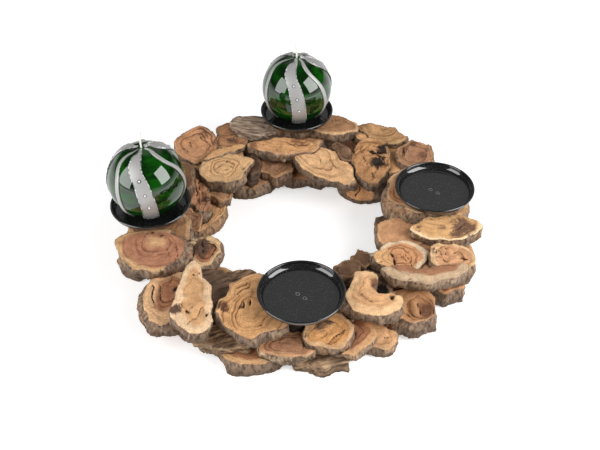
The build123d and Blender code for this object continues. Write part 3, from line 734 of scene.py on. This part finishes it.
top_wood = wood(
    "top_wood", (168, 126, 92), (208, 168, 124), sap_band=4, ring=2.6, ring_depth=0.5, mark=(96, 72, 58))
sawn_slice(
    "back_right_top_slice", top_wood, pith=(30, 150),
    marks=((44, 146, 5, 0.6), (58, 140, 3, 0.6)))
far_wood = wood("far_wood", (180, 140, 98), (188, 150, 106), sap_band=3, ring=2, ring_depth=0.8)
sawn_slice("back_right_far_slice", far_wood, pith=(95, 160), rough=2)
block_wood = wood(
    "block_wood", (154, 126, 102), (162, 134, 108), bark=(164, 141, 121), bark_pale=(204, 182, 158),
    lying=-12)
wood_piece("back_bark_block", "bark_wood", cut(block_wood, bark_all=True, bark=1.4, lying=-12))
chip_wood = wood("chip_wood", (206, 158, 110), (210, 166, 118), sap_band=2, ring=2, ring_depth=0.4)
sawn_slice("back_chips", chip_wood, rough=1.2)
fill_wood = wood(
    "fill_wood", (166, 122, 88), (180, 136, 100), sap_band=3, ring_depth=0.8, mark=(96, 70, 54))
sawn_slice("back_left_fill_slices", fill_wood, marks=((-76, 122, 8, 0.7),), rough=2)
dim_wood = wood("dim_wood", (122, 90, 66), (132, 100, 74), sap_band=4, ring_depth=0.7)
sawn_slice("left_back_slice", dim_wood)
fibre_wood = wood(
    "fibre_wood", (172, 124, 92), (182, 136, 102), sap_band=3, ring=1.8, ring_depth=1.0,
    mark=(70, 48, 38))
sawn_slice(
    "left_fibre_slice", fibre_wood, pith=(-150, 20),
    marks=((-98, 30, 8, 0.8), (-106, 44, 4, 0.5)),
    cracks=((-108, 60, -104, 36, 0.7), (-112, 48, -108, 26, 0.6), (-102, 66, -98, 46, 0.6)),
    rough=4)

# Bark pieces: offcuts that are mostly grey furrowed bark, wedged between the slices on the inner edge
# and along the front, with some brown wood laid bare.
nub_wood = wood(
    "nub_wood", (114, 86, 66), (148, 114, 84), sap_band=3, ring=1.8, ring_depth=0.8, bark=(122, 98, 78),
    bark_pale=(172, 134, 98))
chunk_wood = wood(
    "chunk_wood", (158, 119, 89), (192, 148, 108), sap_band=3, ring=1.8, ring_depth=0.8,
    bark=(150, 120, 96), bark_pale=(206, 164, 122))
knothole_wood = wood(
    "knothole_wood", (82, 60, 47), (108, 82, 62), sap_band=3, ring=1.8, ring_depth=0.8, bark=(94, 73, 58),
    bark_pale=(132, 103, 77))
woods_of_nubs = (chunk_wood, chunk_wood, knothole_wood, chunk_wood, nub_wood)
wood_piece("bark_nubs", "bark_wood", *[cut(nub, rough=3, bark=0.8) for nub in woods_of_nubs])
streaked_wood = wood(
    "streaked_wood", (136, 106, 82), (144, 114, 88), bark=(134, 106, 84), bark_pale=(186, 150, 112),
    lying=31)
wood_piece("inner_left_bark_slice", "bark_wood", cut(streaked_wood, bark_all=True, bark=1.3, lying=31))
gnarled_wood = wood(
    "gnarled_wood", (146, 116, 90), (156, 126, 98), bark=(146, 118, 92), bark_pale=(204, 172, 134),
    lying=18)
wood_piece("front_left_bark_slice", "bark_wood", cut(gnarled_wood, bark_all=True, bark=1.3, lying=18))

# Low slices at the front: an orange cut with a grey patch, a cream crescent behind its edge, a red-brown
# one under the front plate and a slice with one large brown knot.
orange_wood = wood(
    "orange_wood", (204, 150, 97), (200, 160, 120), sap_band=5, ring=2.6, mark=(98, 76, 62))
sawn_slice(
    "front_center_slice", orange_wood, pith=(24, -176),
    marks=((23, -161, 10, 0.9), (10, -176, 4, 0.5)),
    cracks=((30, -186, 44, -170, 0.7), (20, -184, 34, -170, 0.4)),
    rough=1.5)
crescent_low_wood = wood(
    "crescent_low_wood", (160, 112, 80), (203, 158, 114), sap_band=9, bark=(150, 125, 100),
    bark_pale=(212, 186, 152))
sawn_slice("front_center_crescent", crescent_low_wood, pith=(44, -160))
low_wood = wood(
    "low_wood", (168, 124, 94), (194, 150, 111), sap_band=5, ring=2.2, ring_depth=0.8, mark=(92, 64, 50),
    bark=(160, 134, 108), bark_pale=(218, 192, 160))
sawn_slice(
    "front_center_low_slice", low_wood, pith=(-12, -183),
    marks=((8, -182, 6, 0.7), (-16, -172, 4, 0.6)),
    cracks=((-20, -176, -8, -182, 0.5), (4, -174, 12, -186, 0.7)),
    rough=1.5)
knot_wood = wood(
    "knot_wood", (192, 143, 101), (198, 151, 109), pith=(114, 78, 57), pith_size=12, sap_band=4, ring=2.2,
    ring_depth=0.8)
sawn_slice(
    "front_right_knot_slice", knot_wood, pith=(128, -132), marks=((112, -142, 3, 0.5),),
    cracks=((118, -126, 120, -138, 0.6), (137, -128, 138, -138, 0.6), (122, -143, 134, -143, 0.6)),
    rough=1.5)

# Base slices: the thick cuts that stand on the table and carry the heap; the front ones show under its edge,
# with cream rims and red hearts, and the inner ones show in the middle of the ring.
front_base_wood = wood(
    "front_base_wood", (166, 118, 86), (207, 165, 120), sap_band=9, ring=2.6, mark=(212, 190, 158))
tan_base_wood = wood(
    "tan_base_wood", (230, 182, 136), (222, 180, 138), sap_band=4, ring=2.8, ring_depth=0.5)
wood_piece(
    "front_base_slices", "shaded_wood",
    cut(tan_base_wood),
    cut(front_base_wood, pith=(-38, -165), reach=30, marks=((-24, -183, 8, 0.9),)),
    cut(gnarled_wood, bark_all=True, bark=1.2, lying=18),
    cut(tan_base_wood, pith=(78, -146), cracks=((84, -158, 94, -152, 0.5),)))
striped_wood = wood(
    "striped_wood", (214, 166, 119), (214, 168, 122), sap_band=3, ring=1.8, ring_depth=0.8,
    bark=(168, 130, 96), bark_pale=(196, 158, 120))
inner_base_wood = wood("inner_base_wood", (194, 148, 108), (196, 150, 110), sap_band=4, ring_depth=0.7)
# Where the bark has come off, the wall shows tan wood, painted paler as painted light: the face stands
# upright in shade under the slices above.
bare_wood_with_painted_light = wood(
    "bare_wood_with_painted_light", (222, 164, 114), (232, 176, 124), sap_band=3, ring=2.0, bark=(158, 130, 106),
    bark_pale=(198, 168, 136))
wood_piece(
    "inner_base_slices", "shaded_wood",
    cut(striped_wood, pith=(-140, 30), rough=1.5),
    cut(inner_base_wood),
    cut(inner_base_wood, rough=1.5),
    cut(
        bare_wood_with_painted_light, bare=(77, 66, 11), swell=(58, 74, 15, "X", -10),
        cracks=((71, 71, 74, 62, 0.5), (83, 68, 85, 59, 0.4)),
        rough=1.5),
    cut(nub_wood, bark_all=True))
shredded_wood = wood(
    "shredded_wood", (180, 132, 94), (192, 146, 106), sap_band=3, ring=1.6, ring_depth=1.0)
wood_piece("outer_base_slices", "shaded_wood", cut(tan_base_wood), cut(shredded_wood, rough=4))

# Hidden slices: the seats under the plates, the middle layer and the base at the back and inside, plain
# cuts of the same branches; one in the middle layer is painted near black as shade in its hollow, one
# under the hook's notch carries painted shade there, and one beside the pale wedge lies with its bark up.
hidden_wood = wood("hidden_wood", (180, 134, 98), (204, 162, 120), sap_band=6, ring=2.6, ring_depth=0.7)
# Painted shade: a near-black wood for the slice that only shows deep in the shaded hollow of the middle
# layer.
painted_shade_wood = wood("painted_shade_wood", (30, 22, 18), (36, 27, 21), bark=(44, 34, 28), bark_pale=(60, 48, 39))
for node in ("front_seat_slice", "left_seat_slice", "back_seat_slice"):
    sawn_slice(node, hidden_wood)
sawn_slice("front_right_mid_slice", hidden_wood)
for node in ("back_base_slices", "front_inner_base_slices"):
    wood_piece(node, "shaded_wood", cut(hidden_wood), voxel=voxel_hidden)
wood_piece(
    "side_middle_slices", "shaded_wood",
    cut(hidden_wood),
    cut(hidden_wood),
    cut(painted_shade_wood),
    cut(hidden_wood),
    voxel=voxel_hidden)
# Painted shade: the near-black mark darkens this slice where it lies in shade under the hook's notch.
notch_wood_with_painted_shade = wood(
    "notch_wood_with_painted_shade", (112, 88, 70), (120, 96, 76), mark=(16, 12, 10), bark=(112, 88, 70),
    bark_pale=(146, 116, 90))
weathered_wood = wood(
    "weathered_wood", (122, 96, 76), (130, 104, 82), bark=(118, 94, 76), bark_pale=(150, 118, 90),
    lying=30)
wood_piece(
    "corner_middle_slices", "shaded_wood",
    cut(hidden_wood),
    cut(weathered_wood, bark_all=True, lying=30),
    cut(notch_wood_with_painted_shade, marks=((86, -121, 10, 1), (60, -120, 12, 1))),
    cut(chip_wood),
    cut(hidden_wood),
    voxel=voxel_hidden)
bpy.data.objects.remove(bark_run)
bpy.data.objects.remove(crosswise)

# Hot glue: pale, half-clear dabs from a glue gun, squeezed out where slices meet. They set as they ran,
# round and smooth, and hold the heap together.
dab_voxel = 0.5 * MM
glue_clear = new_finish("glue_clear", {
    "Base Color": tint(206, 190, 160), "Roughness": 0.25, "Transmission Weight": 0.6, "IOR": 1.48})
dabs = merged_solids("glue_dabs")
for dab in dabs:
    apply_modifier(dab, "REMESH", mode="VOXEL", voxel_size=dab_voxel, use_smooth_shade=True)
    apply_modifier(dab, "SMOOTH", factor=0.5, iterations=4)
    dress(dab, glue_clear)
join_as("glue_dabs_set", dabs)
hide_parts("glue_dabs")
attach(dabs[0], "wreath")

# Candle plates: dishes pressed from thin steel with a rolled rim, black enamel with a fine sparkle, and the
# marks of the two welds that hold the spike's foot below. Four alike; the left one stands a little askew.
plate_floor_radius = 34 * MM
plate_sheet = 1.2 * MM
plate_bend = 7.3 * MM
plate_roll = 1.2 * MM
plate_roll_place = (41.3 * MM, 7.8 * MM)
plate_turns = 128
weld_spacing = 9 * MM
weld_radius = 1.85 * MM
weld_bead = 0.3 * MM
weld_turn = math.radians(-40)
spike_foot_strip = 1.2 * MM
upright = Vector((0, 0, 1))
plate_leans = {"left": Vector((-0.03437, -0.00606, 0.99939))}
plates = {}
for name, (x, y) in seat_places.items():
    plates[name] = (Vector((x, y, seat_height)) * MM, plate_leans.get(name, upright))

enamel_black = new_finish("enamel_black", {
    "Roughness": 0.4, "Specular IOR Level": 0.1,
    "Coat Weight": 0.8, "Coat IOR": 1.9, "Coat Roughness": 0.04})
enamel_tree = enamel_black.node_tree
sparkle = ramp(enamel_tree, speckle(enamel_tree, 1100, 1), 0.62, 0.74)
drive(enamel_black, "Base Color", blend_colours(enamel_tree, sparkle, tint(22, 22, 23), tint(74, 74, 76)))
weld_grey = new_finish("weld_grey", {"Base Color": tint(114, 114, 116), "Roughness": 0.4})
spike_black = new_finish("spike_black", {"Base Color": tint(36, 36, 37), "Roughness": 0.45})


def pressed_profile():
    """Half section of a dish from the middle of its underside round the rim to the middle of its floor."""
    outer = plate_bend + plate_sheet / 2
    inner = plate_bend - plate_sheet / 2
    centre_height = plate_sheet / 2 + plate_bend
    rise = [math.radians(degrees) for degrees in (0, 12, 24, 36, 48, 60, 72, 82)]
    roll = [math.radians(degrees) for degrees in (-40, -5, 30, 60, 90, 120, 150, 180, 205)]
    roll_x, roll_z = plate_roll_place
    under = [(plate_floor_radius + outer * math.sin(a), centre_height - outer * math.cos(a)) for a in rise]
    rim = [(roll_x + plate_roll * math.cos(a), roll_z + plate_roll * math.sin(a)) for a in roll]
    inside = [(plate_floor_radius + inner * math.sin(a), centre_height - inner * math.cos(a)) for a in rise]
    return [(0, 0), *under, *rim, *inside[::-1], (0, plate_sheet)]


def set_down(piece, place, up):
    """Turn a piece made upright at the origin to lean with its seat and put it in its place."""
    piece.rotation_mode = "QUATERNION"
    piece.rotation_quaternion = upright.rotation_difference(up)
    piece.location = place
    select_only([piece])
    bpy.ops.object.transform_apply(location=True, rotation=True, scale=True)


def pressed_dish():
    """One dish upright at the origin, its underside at zero."""
    profile = pressed_profile()
    bpy.ops.object.select_all(action="DESELECT")
    bpy.ops.mesh.primitive_plane_add(size=plate_sheet, location=(0, 0, 0))
    dish = bpy.context.object
    bpy.ops.object.mode_set(mode="EDIT")
    bpy.ops.mesh.merge(type="CENTER")
    for (x, z), (next_x, next_z) in zip(profile, profile[1:]):
        bpy.ops.mesh.extrude_vertices_move(TRANSFORM_OT_translate={"value": (next_x - x, 0, next_z - z)})
    bpy.ops.mesh.select_all(action="SELECT")
    bpy.ops.mesh.spin(steps=plate_turns, angle=2 * math.pi, center=(0, 0, 0), axis=(0, 0, 1))
    bpy.ops.mesh.select_all(action="SELECT")
    bpy.ops.mesh.remove_doubles(threshold=merge_gap)
    bpy.ops.mesh.normals_make_consistent(inside=False)
    bpy.ops.object.mode_set(mode="OBJECT")
    dress(dish, enamel_black)
    welds = []
    for side in (-1, 1):
        across = side * weld_spacing / 2
        bpy.ops.mesh.primitive_torus_add(
            location=(across * math.cos(weld_turn), across * math.sin(weld_turn), plate_sheet),
            major_radius=weld_radius, minor_radius=weld_bead, major_segments=32, minor_segments=8)
        bpy.ops.object.transform_apply(location=True, rotation=False, scale=False)
        dress(bpy.context.object, weld_grey)
        welds.append(bpy.context.object)
    join_as("pressed_dish", [dish, *welds])
    bpy.ops.object.shade_smooth_by_angle(angle=math.radians(40))
    return dish


first_dish = pressed_dish()
for name, (place, up) in plates.items():
    dish = first_dish.copy()
    dish.data = first_dish.data.copy()
    bpy.context.scene.collection.objects.link(dish)
    dish.name = f"{name}_pressed_dish"
    set_down(dish, place + up * spike_foot_strip, up)
    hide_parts(f"{name}_plate_dish")
    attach(dish, f"{name}_plate")
    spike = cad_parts[f"{name}_plate_spike"]
    dress(spike, spike_black)
bpy.data.objects.remove(first_dish)

# Ball candles: dark green wax balls with a flat foot and a clear lacquer, whose green is deeper in some
# streaks. They stand loose on the left and back plates.
ball_radius = 40 * MM
ball_foot_radius = 14 * MM
ball_drop = math.sqrt(ball_radius**2 - ball_foot_radius**2)
ball_gap = 0.05 * MM
ball_seat = spike_foot_strip + plate_sheet + ball_gap
candles = {}
for name in ("left", "back"):
    place, up = plates[name]
    candles[name] = (place + up * (ball_seat + ball_drop), up)

wax_green = new_finish("wax_green", {
    "Roughness": 0.5, "Specular IOR Level": 0.0,
    "Coat Weight": 1.0, "Coat IOR": 1.72, "Coat Roughness": 0.02})
wax_tree = wax_green.node_tree
streaks = ramp(wax_tree, speckle(wax_tree, 55, 3, (1, 1, 0.385)), 0.38, 0.66)
drive(wax_green, "Base Color", blend_colours(wax_tree, streaks, tint(5, 36, 4), tint(12, 74, 6)))

for name, (place, up) in candles.items():
    bpy.ops.object.select_all(action="DESELECT")
    bpy.ops.mesh.primitive_uv_sphere_add(segments=96, ring_count=64, radius=ball_radius, location=(0, 0, 0))
    ball = bpy.context.object
    ball.name = f"{name}_wax_ball"
    bpy.ops.object.mode_set(mode="EDIT")
    bpy.ops.mesh.select_all(action="SELECT")
    bpy.ops.mesh.bisect(plane_co=(0, 0, -ball_drop), plane_no=(0, 0, 1), use_fill=True, clear_inner=True)
    bpy.ops.object.mode_set(mode="OBJECT")
    bpy.ops.object.shade_smooth_by_angle(angle=math.radians(30))
    dress(ball, wax_green)
    set_down(ball, place, up)
    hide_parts(f"{name}_candle_ball")
    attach(ball, f"{name}_candle")

# Wax ribbons: thin strips of silver wax pressed on the ball from the wick down, three wide ones
# edged with a row of tiny beads and a plain narrow one between each two.
ribbon_bevel = 0.2 * MM
ribbon_corner = math.radians(30)
ribbon_round = math.radians(40)
ribbon_middle = 40.5 * MM
wide_ribbon_area = 1800 * MM**2
bead_radius = 0.42 * MM
bead_cuts = 2
bead_lump_depth = 0.5 * MM
bead_lumps = cloud("bead_lumps", 0.7, 0)

ribbon_silver = new_finish("ribbon_silver", {
    "Base Color": tint(180, 179, 177), "Metallic": 0.4, "Roughness": 0.48})
bead_silver = new_finish("bead_silver", {"Metallic": 0.4, "Roughness": 0.3})
bead_tree = bead_silver.node_tree
# Painted shade: dark grey patches along the cord stand for the shade between the beads, bright silver for the
# beads.
painted_bead_gap_shade = ramp(bead_tree, speckle(bead_tree, 700, 0), 0.42, 0.56)
drive(bead_silver, "Base Color", blend_colours(bead_tree, painted_bead_gap_shade, tint(92, 92, 93), tint(226, 226, 226)))


def beaded_edge(strip, middle):
    """The row of beads along the outer edge of a wide ribbon, as a knobbly cord."""
    row = strip.copy()
    row.data = strip.data.copy()
    bpy.context.scene.collection.objects.link(row)
    select_only([row])
    bpy.ops.object.mode_set(mode="EDIT")
    bpy.ops.mesh.select_mode(type="EDGE")
    bpy.ops.mesh.select_all(action="DESELECT")
    bpy.ops.mesh.edges_select_sharp(sharpness=ribbon_corner)
    bpy.ops.mesh.select_all(action="INVERT")
    bpy.ops.mesh.delete(type="EDGE_FACE")
    bpy.ops.mesh.select_mode(type="VERT")
    bpy.ops.mesh.select_all(action="DESELECT")
    bpy.ops.object.mode_set(mode="OBJECT")
    for corner in row.data.vertices:
        corner.select = (corner.co - middle).length < ribbon_middle
    bpy.ops.object.mode_set(mode="EDIT")
    bpy.ops.mesh.delete(type="VERT")
    bpy.ops.mesh.select_all(action="SELECT")
    bpy.ops.mesh.delete_loose(use_verts=True, use_edges=False, use_faces=False)
    bpy.ops.mesh.select_all(action="SELECT")
    bpy.ops.mesh.subdivide(number_cuts=bead_cuts)
    bpy.ops.object.mode_set(mode="OBJECT")
    bpy.ops.object.convert(target="CURVE")
    row = bpy.context.object
    row.data.bevel_depth = bead_radius
    row.data.bevel_resolution = 1
    bpy.ops.object.convert(target="MESH")
    row = bpy.context.object
    displace(row, bead_lump_depth, texture=bead_lumps)
    dress(row, bead_silver)
    return row


for name, (place, _) in candles.items():
    strips = merged_solids(f"{name}_candle_ribbons")
    rows = []
    for strip in strips:
        if sum(face.area for face in strip.data.polygons) > wide_ribbon_area:
            rows.append(beaded_edge(strip, place))
        apply_modifier(
            strip, "BEVEL", width=ribbon_bevel, segments=2, limit_method="ANGLE", angle_limit=ribbon_round)
        dress(strip, ribbon_silver)
    join_as(f"{name}_wax_ribbons", [*strips, *rows])
    bpy.ops.object.shade_smooth_by_angle(angle=ribbon_round)
    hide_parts(f"{name}_candle_ribbons")
    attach(strips[0], f"{name}_candle")

# Stones: small clear stones with a flat top and eight cut sides, in round silver settings that are pressed
# into the wax, three on each wide ribbon.
stone_radius = 1.3 * MM
stone_top_radius = 0.78 * MM
stone_height = 1.1 * MM
stone_lift = 1.0 * MM
setting_radius = 1.55 * MM
setting_wire = 0.35 * MM
stone_clear = new_finish("stone_clear", {
    "Base Color": tint(244, 246, 250), "Metallic": 0.1, "Roughness": 0.12, "Specular IOR Level": 0.9})
setting_silver = new_finish("setting_silver", {
    "Base Color": tint(120, 120, 122), "Metallic": 0.9, "Roughness": 0.3})
for name, (place, _) in candles.items():
    blanks = merged_solids(f"{name}_candle_stones")
    parts = []
    for blank in blanks:
        middle = sum((Vector(corner) for corner in blank.bound_box), Vector()) / 8
        way = (middle - place).normalized()
        foot = place + way * (ball_radius + stone_lift)
        bpy.ops.object.select_all(action="DESELECT")
        bpy.ops.mesh.primitive_cone_add(
            vertices=8, radius1=stone_radius, radius2=stone_top_radius, depth=stone_height,
            location=(0, 0, stone_height / 2))
        bpy.ops.object.transform_apply(location=True, rotation=False, scale=False)
        gem = bpy.context.object
        dress(gem, stone_clear)
        set_down(gem, foot, way)
        bpy.ops.mesh.primitive_torus_add(
            major_radius=setting_radius, minor_radius=setting_wire, major_segments=16, minor_segments=6,
            location=(0, 0, 0))
        ring = bpy.context.object
        dress(ring, setting_silver)
        set_down(ring, foot, way)
        parts += [gem, ring]
    for blank in blanks:
        bpy.data.objects.remove(blank)
    join_as(f"{name}_cut_stones", parts)
    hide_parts(f"{name}_candle_stones")
    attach(parts[0], f"{name}_candle")

# Wicks: white waxed cotton cords up the middle of the balls, standing out of the eye where the ribbons meet.
# They haven't been lit.
wick_cotton = new_finish("wick_cotton", {"Base Color": tint(246, 243, 232), "Roughness": 0.7})
for name in candles:
    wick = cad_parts[f"{name}_candle_wick"]
    dress(wick, wick_cotton)
